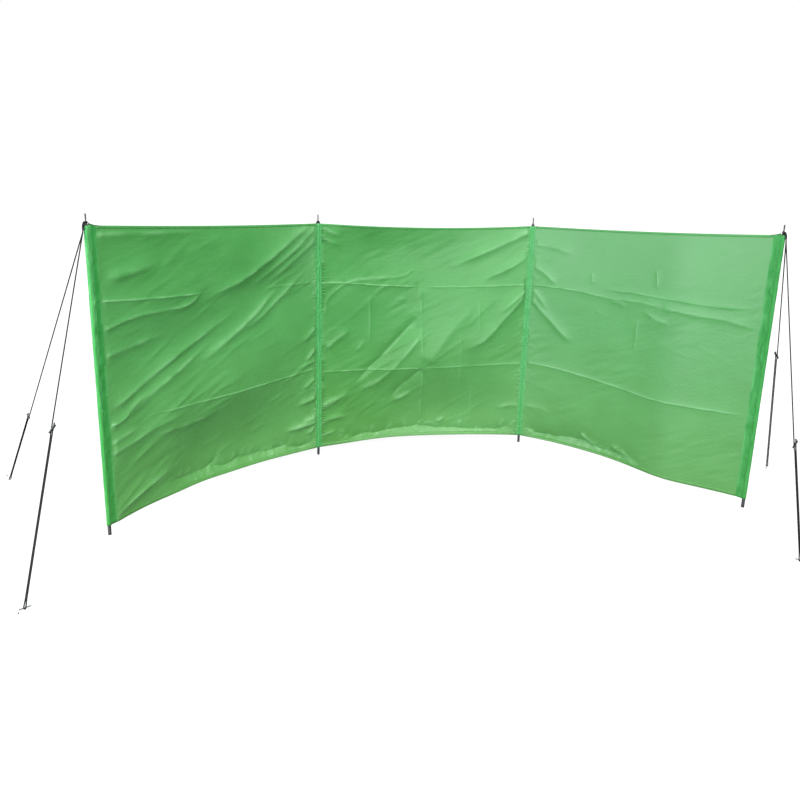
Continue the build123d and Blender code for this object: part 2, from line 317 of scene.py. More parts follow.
# Woven polypropylene webbing: dull black with ribs across every 1.4 mm and a chevron face
def webbingLook(add):
    uv = add("UVMap", uv_map="clothUv")
    ribs = add("TexWave", {"Vector": uv, "Scale": waveScale(1.4), "Distortion": 0.4}, bands_direction="Y")
    cords = add("TexWave", {"Vector": uv, "Scale": waveScale(2.1)}, bands_direction="X")
    face = add("Math", {0: ribs.outputs["Fac"], 1: cords.outputs["Fac"]}, operation="MULTIPLY")
    colour = add("Mix", {"Factor": face, 6: "#0B0B0C", 7: "#2A2A2B"}, data_type="RGBA")
    bump = add("Bump", {"Height": face, "Strength": 0.6, "Distance": 0.0004})
    return add("BsdfPrincipled", {
        "Base Color": colour, "Roughness": 0.62, "Normal": bump, "Sheen Weight": 0.15})


# Braided polyester cord, 4 mm: black with paler flecks, crossing strands about 1.6 mm wide
def cordLook(add):
    uv = add("UVMap", uv_map="clothUv")
    strands = []
    for lean in (55, -55):
        turned = add("Mapping", {"Vector": uv, "Rotation": (0.0, 0.0, math.radians(lean))})
        strands.append(add("TexWave", {"Vector": turned, "Scale": waveScale(1.6)}, bands_direction="X"))
    braid = add("Math", {k: s.outputs["Fac"] for k, s in enumerate(strands)}, operation="MAXIMUM")
    flecks = add("TexNoise", {"Vector": uv, "Scale": 420.0, "Detail": 2.0})
    shade = add("Math", {0: braid, 1: flecks}, operation="MULTIPLY")
    colour = add("Mix", {"Factor": shade, 6: "#070708", 7: "#232425"}, data_type="RGBA")
    bump = add("Bump", {"Height": braid, "Strength": 0.7, "Distance": 0.0004})
    return add("BsdfPrincipled", {
        "Base Color": colour, "Roughness": 0.72, "Normal": bump, "Specular IOR Level": 0.25})


# Moulded nylon: black with a fine spark-eroded grain, paler where it was rubbed
def nylonLook(add):
    place = add("TexCoord").outputs["Object"]
    grain = add("TexNoise", {"Vector": place, "Scale": 2200.0, "Detail": 2.0})
    rubs = add("TexNoise", {"Vector": place, "Scale": 160.0, "Detail": 3.0})
    colour = add("Mix", {"Factor": rubs, 6: "#0E0E0F", 7: "#262627"}, data_type="RGBA")
    rough = add("MapRange", {"Value": rubs, "To Min": 0.36, "To Max": 0.56})
    bump = add("Bump", {"Height": grain, "Strength": 0.25, "Distance": 0.0002})
    return add("BsdfPrincipled", {"Base Color": colour, "IOR": 1.53, "Roughness": rough, "Normal": bump})


steelFinishes = {
    # epoxy powder coat on steel tube: dark grey, fine orange peel about 3 mm wide
    "powderCoatedSteelTube": {"dark": "#2C2D2E", "light": "#434343", "rough": (0.42, 0.56), "metallic": 0.0,
                              "grainMm": 3.0, "depth": 0.0002, "stretch": 1.0},
    # dull zinc plate on turned pins: dark grey, brushed rings about 0.8 mm apart
    "zincPlatedSteelPin": {"dark": "#29292B", "light": "#4A4B4C", "rough": (0.36, 0.52), "metallic": 1.0,
                           "grainMm": 0.8, "depth": 0.0001, "stretch": 6.0},
    # hot-dip galvanised wire: pale grey with spangles about 5 mm wide
    "galvanisedSteelWire": {"dark": "#9A9C9D", "light": "#CBCDCD", "rough": (0.32, 0.5), "metallic": 1.0,
                            "grainMm": 5.0, "depth": 0.0002, "stretch": 1.0},
}


def steelLook(add, finish):
    place = add("TexCoord").outputs["Object"]
    laid = add("Mapping", {"Vector": place, "Scale": (1, 1, finish["stretch"])})
    grain = add("TexNoise", {"Vector": laid, "Detail": 3.0, "Scale": 1000 / finish["grainMm"]})
    stains = add("TexNoise", {"Vector": place, "Scale": 45.0, "Detail": 4.0})
    mixed = add("Math", {0: grain, 1: stains}, operation="MULTIPLY")
    spread = add("MapRange", {"Value": mixed, "From Min": 0.12, "From Max": 0.4})
    colour = add("Mix", {"Factor": spread, 6: finish["dark"], 7: finish["light"]}, data_type="RGBA")
    least, most = finish["rough"]
    rough = add("MapRange", {"Value": stains, "To Min": least, "To Max": most})
    bump = add("Bump", {"Height": grain, "Strength": 0.3, "Distance": finish["depth"]})
    return add("BsdfPrincipled", {
        "Base Color": colour, "Metallic": finish["metallic"], "Roughness": rough, "Normal": bump})


taffeta, doubledTaffeta, hemTaffeta, lappedTaffetaPaintedShade = (
    newMaterial(name, taffetaLook, finish) for name, finish in taffetaFinishes.items())
thread = newMaterial("spunPolyesterThread", threadLook)
webbing = newMaterial("wovenPolypropyleneWebbing", webbingLook)
cordBraid = newMaterial("braidedPolyesterCord", cordLook)
nylon = newMaterial("mouldedNylon", nylonLook)
poleSteel, pinSteel, pegSteel = (
    newMaterial(name, steelLook, finish) for name, finish in steelFinishes.items())
print("materials ready:", len(bpy.data.materials))

nodeFinishes = {"_pole": poleSteel, "_pin": pinSteel, "_peg": pegSteel, "_slider": nylon}
for nodeName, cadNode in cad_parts.items():
    for ending, material in nodeFinishes.items():
        if nodeName.endswith(ending):
            cadNode.data.materials.clear()
            cadNode.data.materials.append(material)


# cloth bays: a ruled sheet from the bowed foot to the straighter top, with listed folds

# fold kinds: sharpness of the crest, its rounding in mm, share of height, small ridge on top in mm,
# share of whitening (cracked coating on creases, painted highlight on crests and pulls) and how far it
# spreads in mm
foldKinds = {
    # sharp line from packing
    "crease": {"power": 1.0, "round": 1.8, "gain": 1.4, "ridge": 1.6, "wear": 0.42, "wearAndHighlightMm": 4.5},
    # tight fold with a crisp edge; its whitening paints a highlight along the crest
    "crest": {"power": 1.0, "round": 2.0, "gain": 1.85, "ridge": 0.0, "wear": 0.30, "wearAndHighlightMm": 9.0},
    # softer fold along a line of tension; its whitening paints a soft highlight along it
    "pull": {"power": 1.35, "round": 4.0, "gain": 2.0, "ridge": 0.0, "wear": 0.12, "wearAndHighlightMm": 16.0},
}

# bow: share along the bay and share of bowDepth; bands: shares where creases need a finer mesh
# strays: count, slope, height in mm; flare: depth in metres, first and last share; crumples: count and shares
# paintedSheen and paintedTopSheen: whitened share along the bay, a painted sheen, the second only towards the
# top; gathers and pucker: pull at its two seams
# each fold: kind, points (share along the bay, share up the cloth), height towards the viewer in mm
# (less than 0: a hollow), width above and below in mm, taper at its two ends as shares of its length
bays = {
    "left": {
        "foot": feet["leftEnd"], "heading": layout["leftTurn"], "start": endReach,
        "stop": bayChord - innerReach, "bowDepth": 0.094, "dip": 0.008, "footDip": 0.0,
        "bow": ((0, 0), (.14, .52), (.27, .76), (.41, 1), (.55, .92), (.7, .78), (.85, .42), (1, 0)),
        "billowDepth": 0.034,
        "billows": ((-.1, -.35, -.8, -1, -1, -.7), (.35, .65, .9, .85, .55, .2),
                    (-.2, -.2, -.05, .25, .55, .45), (.5, .6, .55, .3, .05, -.1), (.2, .25, .35, .5, .6, .3)),
        "rowBands": ((0, .075), (.325, .372), (.735, .77)), "columnBands": (),
        "seed": 11, "strays": (40, 0.45, 1.0), "flare": (0.022, .2, 1.02), "foldGain": 1.6,
        "crumples": (34, .3, 1),
        "paintedSheen": ((0, .11), (.5, .1), (1, .09)),
        "paintedTopSheen": ((0, -.07), (.65, -.07), (.85, .04), (1, .24)), "gathers": (.3, 3.0),
        "pucker": {"first": (40, 1.6, 90, 0.3), "last": (44, 3.3, 70, -0.55)},
        "folds": [
            ("crease", (0, .762, .17, .757, .36, .756, .43, .76), 3, 30, 30, 0, .2),
            ("crease", (.7, .752, .85, .752, 1, .756), 1, 14, 14, .3, 0),
            ("crease", (0, .669, .13, .701, .33, .718, .4, .752), 3.2, 26, 20, 0, .1),
            ("crease", (.3, .7, .36, .73, .42, .765), 1.6, 12, 10, .3, .3),
            ("crease", (.09, .344, .3, .342, .52, .343, .7, .35, .84, .36, 1, .374), 2.4, 50, 60, .25, 0),
            ("crest", (.95, .99, .836, .926, .711, .854, .598, .792, .491, .757, .4, .72), 7.5, 42, 36, 0,
             .35),
            ("crest", (1, .985, .976, .969, .844, .881, .719, .803, .62, .745), 4.5, 16, 22, 0, .45),
            ("crest", (1, .94, .967, .917, .802, .812, .7, .75), 4, 18, 22, 0, .5),
            ("crest", (0, .581, .124, .603, .268, .633), 3.6, 26, 20, 0, .5),
            ("crest", (0, .393, .22, .501, .407, .59, .543, .66, .62, .7), 5.5, 36, 22, .1, .4),
            ("crest", (.074, .372, .29, .476, .481, .58), 4.2, 16, 24, .2, .35),
            ("crest", (.365, .474, .519, .556, .678, .659, .744, .712, .83, .77), 5, 22, 26, .3, .3),
            ("crest", (.566, .582, .687, .632, .879, .761, .95, .81), 4, 18, 20, .35, .3),
            ("pull", (.01, .832, .108, .847, .252, .887), 4.5, 40, 20, .25, .4),
            ("crest", (0, .972, .148, .976, .309, .98, .5, .984), 3.2, 14, 16, 0, .5),
            ("crest", (0, .248, .088, .265, .218, .3, .331, .324), 4.2, 26, 22, 0, .35),
            ("crest", (0, .282, .056, .298, .127, .315), 3, 14, 14, 0, .5),
            ("crest", (0, .343, .054, .356, .119, .407, .183, .428), 3.5, 16, 14, 0, .4),
            ("crest", (.16, .261, .385, .269, .517, .305), 4, 60, 24, .3, .3),
            ("crest", (0, .02, .088, .056, .208, .092, .3, .13), 6, 24, 24, 0, .45),
            ("crest", (.92, .5, .985, .55), 4, 14, 12, .5, 0),
            ("crest", (.93, .41, .985, .455), 4, 12, 12, .5, 0),
            ("crest", (.87, .385, 1, .41), 3.5, 12, 10, .5, 0),
            ("crest", (.92, .28, .985, .325), 4, 12, 12, .5, 0),
            ("crest", (.905, .215, 1, .24), 5, 14, 14, .4, 0),
            ("crest", (.837, .1, .931, .115, 1, .126), 5.5, 18, 14, .4, 0),
            ("crest", (.931, .133, 1, .148), 4, 10, 10, .4, 0),
            ("crest", (.949, .066, 1, .104), 4, 12, 12, .4, 0),
        ],
    },
    "middle": {
        "foot": feet["leftInner"], "heading": 0.0, "start": innerReach,
        "stop": bayChord - innerReach, "bowDepth": 0.100, "dip": 0.019, "footDip": 0.0,
        "bow": ((0, 0), (.15, .48), (.31, .93), (.46, 1), (.61, .86), (.76, .62), (.91, .27), (1, 0)),
        "billowDepth": 0.034,
        "billows": ((-.4, -.6, -.8, -.9, -.8, -.4), (-.2, .2, .7, .85, .6, .2), (-.2, -.1, .3, .65, .9, .5),
                    (-.25, -.25, -.2, .05, .4, .4), (-.75, -.8, -.65, -.4, -.05, .1)),
        "rowBands": ((0, .075), (.328, .372), (.722, .755)),
        "columnBands": ((.226, .242), (.474, .516), (.674, .704), (.752, .78)),
        "seed": 23, "strays": (34, 0.65, 0.8), "flare": (0.018, .05, 1.02), "foldGain": 1.35,
        "crumples": (46, .02, .98),
        "paintedSheen": ((0, 0), (.3, .02), (.55, .1), (1, .13)), "paintedTopSheen": ((0, 0), (.6, 0), (1, .2)),
        "gathers": (3.4, 2.0),
        "pucker": {"first": (48, 3.0, 50, -0.2), "last": (38, 2.4, 60, -0.45)},
        "folds": [
            ("crease", (0, .748, .11, .749, .3, .738, .47, .733), 3, 34, 30, 0, .05),
            ("crease", (.5, .731, .7, .732, 1, .734), 1.6, 16, 18, .1, 0),
            ("crease", (0, .352, .2, .347, .35, .345, .5, .346), 3, 46, 50, 0, .05),
            ("crease", (.5, .346, .7, .352, 1, .359), 1.4, 16, 20, .1, 0),
            ("crease", (.48, .731, .49, .5, .502, .28, .512, .053), 1.9, 24, 24, .05, .1),
            ("crease", (.23, .699, .233, .58, .236, .465), 1.5, 20, 20, .2, .2),
            ("crease", (.679, .539, .69, .36, .70, .192), 1.1, 16, 16, .2, .2),
            ("crease", (.767, .666, .772, .58, .777, .505), 1.1, 16, 16, .2, .2),
            ("crease", (.757, .266, .765, .15, .771, .038), 1.1, 16, 16, .2, .2),
            ("crease", (.111, .749, .03, .683, .015, .621, 0, .602), 2, 14, 12, .05, .2),
            ("crease", (.111, .749, .193, .765, .375, .78, .435, .808, .488, .809), 2.4, 20, 16, .05, .15),
            ("crest", (1, .973, .836, .908, .655, .837, .58, .81), 6.5, 40, 22, 0, .4),
            ("crest", (1, .86, .882, .802, .753, .758), 5, 36, 18, 0, .45),
            ("crest", (1, .709, .924, .65, .858, .591), 5, 26, 18, 0, .5),
            ("crest", (1, .694, .898, .584, .788, .472, .657, .42), 7, 60, 34, 0, .4),
            ("crest", (.476, .593, .401, .514, .325, .435, .24, .358, .155, .276), -8, 34, 30, .15, .2),
            ("crest", (.502, .534, .39, .388, .282, .287, .179, .247), 4, 20, 26, .15, .25),
            ("pull", (.761, .65, .635, .532, .518, .361), 4, 60, 50, .3, .1),
            ("crest", (.503, .346, .411, .265, .342, .183), -5, 26, 34, .1, .3),
            ("crest", (.143, .546, .075, .5, .015, .454), 4, 24, 20, .3, .2),
            ("crest", (.147, .254, .077, .217, .008, .184), 4.5, 18, 18, .3, .1),
            ("crest", (0, .985, .043, .967, .101, .948), 4, 14, 14, 0, .5),
            ("crest", (0, .95, .044, .925, .109, .908), 4, 14, 14, 0, .5),
            ("crest", (.356, .671, .417, .681), 1.6, 8, 8, .4, .4),
            ("crest", (.168, .429, .198, .471, .221, .484), 2.4, 12, 10, .4, .4),
            ("crest", (.358, .183, .413, .203, .461, .232), 3, 14, 14, .4, .4),
            ("crest", (0, .19, .047, .213, .105, .223), 4.5, 16, 14, 0, .5),
            ("crest", (0, .115, .073, .131, .157, .129), 4.5, 18, 12, 0, .5),
            ("crest", (0, .055, .081, .07), 3, 12, 12, 0, .5),
            ("crest", (.59, .056, .639, .085), 3, 10, 10, .4, .4),
            ("crest", (.882, .134, .948, .147, 1, .152), 2.5, 14, 12, .5, 0),
        ],
    },
    "right": {
        "foot": feet["rightInner"], "heading": -layout["rightTurn"], "start": innerReach,
        "stop": bayChord - endReach, "bowDepth": 0.046, "dip": 0.008, "footDip": 0.008,
        "bow": ((0, 0), (.13, .68), (.28, 1), (.43, .8), (.58, .1), (.71, -.55), (.83, -.42), (1, 0)),
        "billowDepth": 0.016,
        "billows": ((.1, .1, .1, .1, .1, .1), (.1, .1, .1, 0, 0, 0), (.3, .2, .1, 0, 0, 0),
                    (.5, .5, .4, .4, .3, .2), (.3, .2, .2, .2, .3, .2)),
        "rowBands": ((0, .075), (.312, .37), (.715, .748)),
        "columnBands": ((.294, .306), (.516, .532), (.55, .60)),
        "seed": 37, "strays": (10, -0.3, 0.4), "flare": (0.020, -.05, .62), "foldGain": 1.0,
        "crumples": (18, .02, .62),
        "paintedSheen": ((0, .13), (1, .13)), "paintedTopSheen": ((0, .14), (.25, .02), (1, 0)), "gathers": (.5, 0),
        "pucker": {"first": (34, 1.6, 70, -0.35), "last": (20, 0.6, 50, 0.0)},
        "folds": [
            ("crease", (0, .735, .211, .732, .368, .716, .55, .713, .645, .699), 2.2, 24, 22, 0, .1),
            ("crease", (.622, .703, .748, .69, .884, .678, 1, .655), 3.4, 26, 16, .1, .2),
            ("crease", (.331, .751, .498, .748, .625, .742, .864, .727, .989, .735), 1.8, 14, 14, .2, .2),
            ("crease", (0, .364, .113, .363, .242, .352, .422, .336, .612, .32, .751, .321, 1, .324), 1.8,
             24, 26, 0, .1),
            ("crease", (.525, .65, .522, .49), 1.2, 14, 14, .25, .25),
            ("crease", (.298, .819, .303, .763), 1.2, 14, 14, .25, .25),
            ("crease", (.588, .854, .599, .776), 1.2, 14, 14, .25, .25),
            ("crest", (0, .921, .107, .911, .215, .886), 2.5, 22, 14, 0, .35),
            ("crest", (0, .824, .062, .796, .133, .745), 3, 22, 14, 0, .25),
            ("crest", (0, .668, .087, .598, .164, .532, .226, .491), 4, 26, 12, 0, .2),
            ("crest", (0, .713, .034, .692, .094, .623), 2.5, 12, 12, 0, .4),
            ("crest", (.538, .682, .604, .653, .675, .638), 1.8, 14, 10, .3, .3),
            ("crest", (.386, .702, .437, .7, .472, .682), 1.5, 10, 10, .3, .3),
            ("crest", (0, .154, .092, .152, .154, .128), 2, 16, 12, 0, .4),
            ("crest", (.292, .08, .341, .05, .399, .019), 5, 14, 12, .2, .1),
            ("crest", (.449, .063, .516, .033, .59, .007), 5, 14, 12, .2, .1),
            ("crest", (.5, .06, .54, .035, .6, .015), 3.5, 10, 10, .2, .1),
        ],
    },
}
billowLevels = (0, .09, .35, .58, .76, .88, 1)  # shares up the cloth of the rows in each billows table
panelCloth = {"columns": 196, "rows": 234, "bandFineness": 3.2, "topBowShare": 0.35, "thickness": 0.0005,
              "tuck": 0.006, "allowance": 0.012, "gatherReach": 0.014, "seamHold": 0.022,
              "footDipAt": 0.7, "footDipWidth": 0.16}
# every fold wanders a little in height and in its whitening (wear and painted highlight) along its length;
# from fullMm up its whitening is full
foldWander = {"height": 0.3, "heightRun": 0.12, "wearAndHighlightRun": 0.05, "fullMm": 2.6, "mostRidge": 1.1}
# fine slanting wrinkles and the patches they come in: metres along and across
wrinkles = {"deep": 0.0010, "slant": (0.9, 0.42), "coarse": (0.16, 0.026), "fine": (0.07, 0.014),
            "patch": (0.28, 0.22)}
# gathers at the seams: ranges of place, reach, slope, width in metres and height
puckers = {"place": (0.1, 0.9), "reach": (0.5, 1.2), "slope": (-0.25, 0.25), "width": (0.006, 0.013),
           "height": (0.3, 1.0), "gap": 0.006, "fade": 1.2}
# small folds laid at random: shares of the bay, then widths in mm
strays = {"along": (0.04, 0.96), "up": (0.08, 0.92), "run": (0.05, 0.19), "lean": (-0.22, 0.22),
          "bend": (-0.012, 0.012), "gain": (0.5, 1.5), "above": (6, 15), "below": (5, 11)}
# crumples at the foot: their whitening is 1.6 times a crest's and paints small glints
crumples = {"up": (0.012, 0.062), "run": (0.006, 0.02), "lean": (0.3, 2.0), "bend": (-0.2, 0.2),
            "gain": (0.5, 1.5), "above": (7, 13), "below": (5, 9), "wear": 1.6}
# height and unevenness of the rim of the flare at the foot, in metres
flareRim = {"level": 0.044, "slow": 0.022, "quick": 0.018, "fade": 0.05}


def foldHeight(x, y, width, fold, seed):
    # height of one fold in metres and its share of whitening (worn coating on creases, painted highlight on
    # crests and pulls), at points x, y in metres
    kind, points, high, above, below, firstTaper, lastTaper = fold
    look = foldKinds[kind]
    line = throughPoints(np.reshape(points, (-1, 2)) * (width, clothHeight))
    if line[-1][0] < line[0][0]:
        line, firstTaper, lastTaper = line[::-1], lastTaper, firstTaper
    pad = 5 * max(above, below) / 1000
    near = np.all([x > line[:, 0].min() - pad, x < line[:, 0].max() + pad,
                   y > line[:, 1].min() - pad, y < line[:, 1].max() + pad], axis=0)
    fullHeight, fullWearAndHighlight = np.zeros(x.shape), np.zeros(x.shape)
    x, y = x[near], y[near]
    steps, starts = np.diff(line, axis=0), distances(line)
    best = np.full(x.shape, 9.0)
    signed, along = np.zeros(x.shape), np.zeros(x.shape)
    for (ax, ay), (sx, sy), length, start in zip(line, steps, np.linalg.norm(steps, axis=1), starts):
        t = np.clip(((x - ax) * sx + (y - ay) * sy) / length ** 2, 0, 1)
        dx, dy = x - ax - t * sx, y - ay - t * sy
        d = np.hypot(dx, dy)
        nearer = d < best
        best = np.where(nearer, d, best)
        signed = np.where(nearer, np.where(sx * dy - sy * dx >= 0, d, -d), signed)
        along = np.where(nearer, start + t * length, along)
    share = along / starts[-1]
    taper = np.ones(x.shape)
    if firstTaper:
        taper *= smoothStep(share / firstTaper)
    if lastTaper:
        taper *= smoothStep((1 - share) / lastTaper)
    uneven = 1 + foldWander["height"] * softNoise(along / foldWander["heightRun"], 3.5, seed)
    side = np.where(signed >= 0, above, below) / 1000
    rounding = look["round"] / 1000
    softened = np.sqrt(best ** 2 + rounding ** 2) - rounding
    result = look["gain"] * high / 1000 * np.exp(-(softened / side) ** look["power"]) * taper * uneven
    ridge = np.exp(-(best / (look["wearAndHighlightMm"] / 1000)) ** 2) * taper
    ridge = ridge * min(abs(high) / foldWander["fullMm"], foldWander["mostRidge"])
    fullHeight[near] = result + math.copysign(look["ridge"] / 1000, high) * ridge * uneven
    # uneven whitening along the fold, which is worn coating on creases and a painted highlight on crests and
    # pulls
    rubs = softNoise(along / foldWander["wearAndHighlightRun"], 9.5, seed + 1)
    fullWearAndHighlight[near] = look["wear"] * ridge * np.clip(0.6 + 0.9 * rubs, 0, 1)
    return fullHeight, fullWearAndHighlight


def clothShape(bay, u, v):
    # local (along, windward, up) of points at share u along and v up, and the whitened share: worn creases
    # and painted highlights
    spec, seed = bays[bay], bays[bay]["seed"]
    length = spec["stop"] - spec["start"]
    x, y = u * length, v * clothHeight
    inBay = np.clip(u, 0, 1)
    stations, depths = zip(*spec["bow"])
    bow = cubicThrough(stations, depths, inBay) * spec["bowDepth"]
    windward = bow * (1 - (1 - panelCloth["topBowShare"]) * v)
    for k, row in enumerate(spec["billows"], 1):
        across = cubicThrough(stations, (0,) + row + (0,), inBay)
        upward = cubicThrough(billowLevels, np.eye(len(billowLevels))[k], np.clip(v, 0, 1))
        windward = windward - spec["billowDepth"] * across * upward
    top = clothTop - spec["dip"] * 4 * inBay * (1 - inBay)
    dipped = np.exp(-((u - panelCloth["footDipAt"]) / panelCloth["footDipWidth"]) ** 2)
    foot = clothFoot - spec["footDip"] * dipped
    out, worn = np.zeros(u.shape), np.zeros(u.shape)
    for k, fold in enumerate(spec["folds"]):
        high, wear = foldHeight(x, y, length, fold, seed + 7 * k)
        out += high
        worn = np.maximum(worn, wear)
    # stray short pulls along the bay's line of tension
    rng = np.random.default_rng(seed + 90)
    count, slope, gain = spec["strays"]
    for k in range(count):
        a, b, run = (rng.uniform(*strays[key]) for key in ("along", "up", "run"))
        rise = run * (slope + rng.uniform(*strays["lean"]))
        bend = rng.uniform(*strays["bend"])
        line = (a - run, b - rise, a, b + bend, a + run, b + rise)
        high, above, below = (rng.uniform(*strays[key]) for key in ("gain", "above", "below"))
        stray = ("crest", line, gain * high, above, below, .5, .5)
        out += foldHeight(x, y, length, stray, seed + 300 + k)[0]
    # fine slanting wrinkles, stronger in patches
    cosine, sine = wrinkles["slant"]
    along, across = cosine * x + sine * y, -sine * x + cosine * y
    coarse, fine, patch = ([a / size for a, size in zip(way, wrinkles[key])] for way, key in (
        ((along, across), "coarse"), ((along, across), "fine"), ((x, y), "patch")))
    wrinkled = softNoise(*coarse, seed + 501) + 0.5 * softNoise(*fine, seed + 502)
    out += wrinkles["deep"] * wrinkled * smoothStep(0.5 + 0.9 * softNoise(*patch, seed + 503))
    # the folds die out at the seams and are held back at the hems
    seam = smoothStep(x / panelCloth["seamHold"]) * smoothStep((length - x) / panelCloth["seamHold"])
    hem = 0.25 + 0.75 * smoothStep(y / 0.10) * smoothStep((clothHeight - y) / 0.06)
    out *= spec["foldGain"] * seam * hem
    # short gathers where the seams pull: count, height and reach in mm, slope
    rng = np.random.default_rng(seed)
    for side, (count, deep, reach, lean) in spec["pucker"].items():
        inward = x if side == "first" else length - x
        for k in range(count):
            place, share, slope, wide, high = (
                rng.uniform(*puckers[key]) for key in ("place", "reach", "slope", "width", "height"))
            far = reach / 1000 * share
            mask = smoothStep(inward / puckers["gap"]) * np.clip(1 - inward / far, 0, 1) ** puckers["fade"]
            crest = (k + place) / count * clothHeight + inward * (lean + slope)
            out += deep / 1000 * high * mask * np.exp(-((y - crest) / wide) ** 2)
    # the lowest hand's breadth kicks out to the viewer
    kick, first, last = spec["flare"]
    span = smoothStep((u - first) / 0.15) * smoothStep((last - u) / 0.12)
    rim = flareRim["level"] + flareRim["slow"] * softNoise(x / 0.10, 0.5, seed + 504)
    rim = rim + flareRim["quick"] * np.clip(softNoise(x / 0.036 - y / 0.06, 0.5, seed + 505), 0, 1)
    belly = np.exp(-np.clip(y - rim, 0, None) / flareRim["fade"]) * np.clip(y / rim, 0, 1)
    out -= kick * span * seam * belly
    # small crumples in it, whitened along their crests as painted glints
    rng = np.random.default_rng(seed + 91)
    count, first, last = spec["crumples"]
    for k in range(count):
        a = rng.uniform(first, last)
        b, run = (rng.uniform(*crumples[key]) for key in ("up", "run"))
        rise = run * rng.uniform(*crumples["lean"]) * rng.choice((1, 1, 1, -1))
        line = (a - run, b - rise, a + rng.uniform(*crumples["bend"]) * run, b, a + run, b + rise)
        high, above, below = (rng.uniform(*crumples[key]) for key in ("gain", "above", "below"))
        bump, wear = foldHeight(x, y, length, ("crest", line, high, above, below, .4, .4), seed + 700 + k)
        out += bump * seam
        worn = np.maximum(worn, crumples["wear"] * wear)
    return np.stack([spec["start"] + x, windward - out, foot + v * (top - foot)], -1), worn


def toWorld(bay, local):
    spec = bays[bay]
    way = wayAt(spec["heading"])
    normal = np.cross(upWay, way)
    return spec["foot"] + local[..., :1] * way + local[..., 1:2] * normal + local[..., 2:] * upWay


def spacedLines(count, bands, fine):
    # shares from 0 to 1, with fine spacing inside the bands
    edges = np.linspace(0, 1, 4001)
    centres = (edges[:-1] + edges[1:]) / 2
    density = np.ones(centres.shape)
    for low, high in bands:
        density = np.where((centres > low) & (centres < high), fine, density)
    total = np.concatenate([[0], np.cumsum(density)])
    return np.interp(np.linspace(0, total[-1], count), total, edges)


for bay, spec in bays.items():
    length = spec["stop"] - spec["start"]
    tuck = panelCloth["tuck"] / length
    u = spacedLines(panelCloth["columns"], spec["columnBands"], panelCloth["bandFineness"])
    u = np.concatenate([[-tuck], u, [1 + tuck]])
    v = spacedLines(panelCloth["rows"], spec["rowBands"], panelCloth["bandFineness"])
    uGrid, vGrid = np.meshgrid(u, v)
    local, worn = clothShape(bay, uGrid, vGrid)
    x, y = uGrid * length, vGrid * clothHeight
    # painted sheen: paler along the whole bay, and again towards its top
    worn = worn + np.interp(uGrid, *zip(*spec["paintedSheen"]))
    worn = worn + np.interp(uGrid, *zip(*spec["paintedTopSheen"])) * smoothStep((vGrid - 0.6) / 0.35)
    patchy = smoothStep(0.5 + 1.1 * softNoise(x / 0.2, y / 0.06, spec["seed"] + 610))
    pull = 0
    for gather, share in zip(spec["gathers"], (uGrid, 1 - uGrid)):
        pull = pull + gather * np.exp(-np.clip(share, 0, 1) * length / panelCloth["gatherReach"])
    piece = buildMesh(bay + "Cloth", toWorld(bay, local), gridFaces(len(v), len(u)), taffeta,
                      np.stack([x, y], -1), {"foldWearAndHighlight": worn, "seamPull": pull * patchy})
    addSolidify(piece, panelCloth["thickness"], 0.0)
    attach(piece, bay + "_panel")
print("cloth bays ready")


# hems: the cloth turned twice at the top and foot of each bay
hems = {
    "columns": 196, "halfThickness": 0.0009, "wave": 0.0003, "waveRun": 0.02, "run": 1.3, "seed": 71,
    # width in mm, then how far the turned edge and its tip stand from the rim, as shares of the width
    "Top": {"widthMm": 12.0, "turn": .06, "tip": .05, "finish": hemTaffeta},
    "Foot": {"widthMm": 18.0, "turn": .05, "tip": .04, "finish": taffeta},
}
hemPieces = {bay: [] for bay in bays}
for bay, pieces in hemPieces.items():
    u = np.linspace(0, 1, hems["columns"])
    for edge in ("Top", "Foot"):
        spec = hems[edge]
        share, half = spec["widthMm"] / 1000 / clothHeight, hems["halfThickness"]
        # section round the edge: shares of the width in from the rim, then of half the thickness
        section = ((1, 1), (.5, 1.15), (spec["turn"], 1), (-spec["tip"], 0),
                   (spec["turn"], -1), (.5, -1.15), (1, -1))
        rings, uvs = [], []
        for inward, offset in section:
            v, offset = share * inward, half * offset
            if edge == "Top":
                v, offset = 1 - v, -offset
            inside = min(max(v, 0), 1)
            local = clothShape(bay, u, np.full(u.shape, inside))[0]
            local[:, 2] += (v - inside) * clothHeight
            along = u * hems["run"]
            local[:, 1] += offset + hems["wave"] * softNoise(along / hems["waveRun"], v * 40, hems["seed"])
            rings.append(toWorld(bay, local))
            uvs.append(np.stack([along, np.full(u.shape, v * clothHeight)], -1))
        points = np.stack(rings, 1)
        piece = buildMesh(bay + edge + "Hem", points, gridFaces(len(u), len(section), True, True),
                          spec["finish"], np.stack(uvs, 1), {"foldWearAndHighlight": np.zeros(points.shape[:2])})
        pieces.append(piece)
        attach(piece)
print("hems ready")


